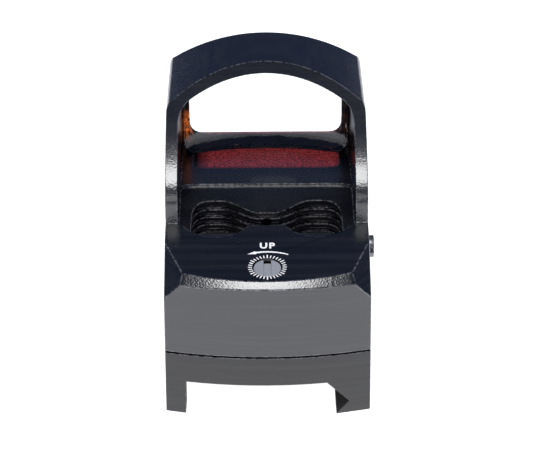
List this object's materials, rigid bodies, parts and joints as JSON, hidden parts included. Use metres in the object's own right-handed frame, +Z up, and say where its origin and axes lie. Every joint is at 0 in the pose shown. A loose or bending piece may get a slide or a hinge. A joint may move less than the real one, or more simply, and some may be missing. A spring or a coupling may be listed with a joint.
{
  "type": "red dot finder",
  "caption": "Compact reflex red dot finder: arched hood round a curved lens, sloping rear block with elevation dial, side windage dial and button, clamp for a dovetail rail.",
  "frame": {"origin": "centre of the object's footprint, at the level of the rail mount's undersides", "axes": "+Z up, +Y forward along the line of sight towards the target, +X to the right as the user sees it from behind"},
  "size_m": [0.0284, 0.0432, 0.0391],
  "materials": {
    "anodised_housing": "matt black hard anodised, fine machining lines",
    "anodised_mount": "matt black hard anodised, fine machining lines",
    "coated_glass": "clear glass with a red reflecting coat",
    "sensor_glass": "dark glass",
    "clear_window": "clear glass",
    "dial_metal": "plain turned metal, slotted",
    "black_steel": "blackened steel",
    "button_rubber": "matt black",
    "seal_rubber": "matt black",
    "cell_steel": "bright nickel plate",
    "contact_brass": "plated spring strip",
    "board_green": "green solder mask",
    "chip_plastic": "moulded black",
    "block_plastic": "moulded black",
    "emitter_red": "clear red resin",
    "flex_amber": "amber film",
    "nut_brass": "machined",
    "spring_steel": "drawn wire"
  },
  "bodies": {
    "body": {"housing": "anodised_housing", "rail_mount": "anodised_mount", "mounting_screw_left": "black_steel", "mounting_screw_right": "black_steel", "side_plug_screw": "black_steel", "locating_pin_1": "spring_steel", "locating_pin_2": "spring_steel", "locating_pin_3": "spring_steel", "locating_pin_4": "spring_steel", "lens": "coated_glass", "lens_seal": "seal_rubber", "light_sensor": "sensor_glass", "emitter_window": "clear_window", "windage_seal": "seal_rubber", "base_seal": "seal_rubber", "battery": "cell_steel", "battery_contact_upper": "contact_brass", "battery_contact_lower": "contact_brass", "circuit_board": "board_green", "controller_chip": "chip_plastic", "tactile_switch": "chip_plastic", "flex_ribbon": "flex_amber", "elevation_seal": "seal_rubber", "elevation_detent_ball": "spring_steel", "elevation_detent_spring": "spring_steel", "carriage_return_spring": "spring_steel"},
    "elevation_dial": {"elevation_dial": "dial_metal"},
    "elevation_nut": {"elevation_nut": "nut_brass"},
    "windage_dial": {"windage_dial": "dial_metal"},
    "windage_carriage": {"windage_carriage": "nut_brass", "emitter_return_spring": "spring_steel"},
    "emitter": {"emitter_block": "block_plastic", "led_board": "board_green", "led_emitter": "emitter_red"},
    "power_button": {"power_button": "button_rubber"},
    "clamp_jaw": {"clamp_jaw": "anodised_mount"},
    "clamp_screw_rear": {"clamp_screw_rear": "black_steel"},
    "clamp_screw_front": {"clamp_screw_front": "black_steel"}
  },
  "joints": [
    {"name": "elevation_nut_slide", "type": "slide", "parent": "body", "child": "elevation_nut", "axis": [0, -0.2137, 0.9769], "range_m": [-0.0007, 0.0007]},
    {"name": "emitter_slide", "type": "slide", "parent": "windage_carriage", "child": "emitter", "axis": [0, -0.2137, 0.9769], "range_m": [-0.0007, 0.0007], "deforming": ["emitter_return_spring"]},
    {"name": "elevation_turn", "type": "hinge", "parent": "body", "child": "elevation_dial", "pos_m": [0, -0.01775, 0.02031], "axis": [0, -0.2137, 0.9769], "range_deg": [-720.1, 720.1]},
    {"name": "windage_slide", "type": "slide", "parent": "body", "child": "windage_carriage", "axis": [1, 0, 0], "range_m": [-0.00052, 0.00052], "deforming": ["carriage_return_spring"]},
    {"name": "windage_turn", "type": "hinge", "parent": "body", "child": "windage_dial", "pos_m": [0.0137, -0.00945, 0.0195], "axis": [1, 0, 0], "range_deg": [-540.1, 540.1]},
    {"name": "power_press", "type": "slide", "parent": "body", "child": "power_button", "axis": [1, 0, 0], "range_m": [0, 0.0004], "stiffness_N_per_m": 1500},
    {"name": "jaw_slide", "type": "slide", "parent": "body", "child": "clamp_jaw", "axis": [1, 0, 0], "range_m": [0, 0.0021]},
    {"name": "clamp_screw_rear_turn", "type": "hinge", "parent": "clamp_jaw", "child": "clamp_screw_rear", "pos_m": [-0.0137, -0.01015, 0.0061], "axis": [1, 0, 0], "range_deg": [0, 1890.1]},
    {"name": "clamp_screw_front_turn", "type": "hinge", "parent": "clamp_jaw", "child": "clamp_screw_front", "pos_m": [-0.0137, 0.01035, 0.0061], "axis": [1, 0, 0], "range_deg": [0, 1890.1]}
  ],
  "couplings": [
    {"joint": "emitter_slide", "follows": "elevation_nut_slide", "ratio": 1},
    {"joint": "elevation_turn", "follows": "elevation_nut_slide", "rad_per_m": -17952},
    {"joint": "windage_turn", "follows": "windage_slide", "rad_per_m": -17952},
    {"joint": "clamp_screw_rear_turn", "follows": "jaw_slide", "rad_per_m": 15708},
    {"joint": "clamp_screw_front_turn", "follows": "jaw_slide", "rad_per_m": 15708}
  ]
}
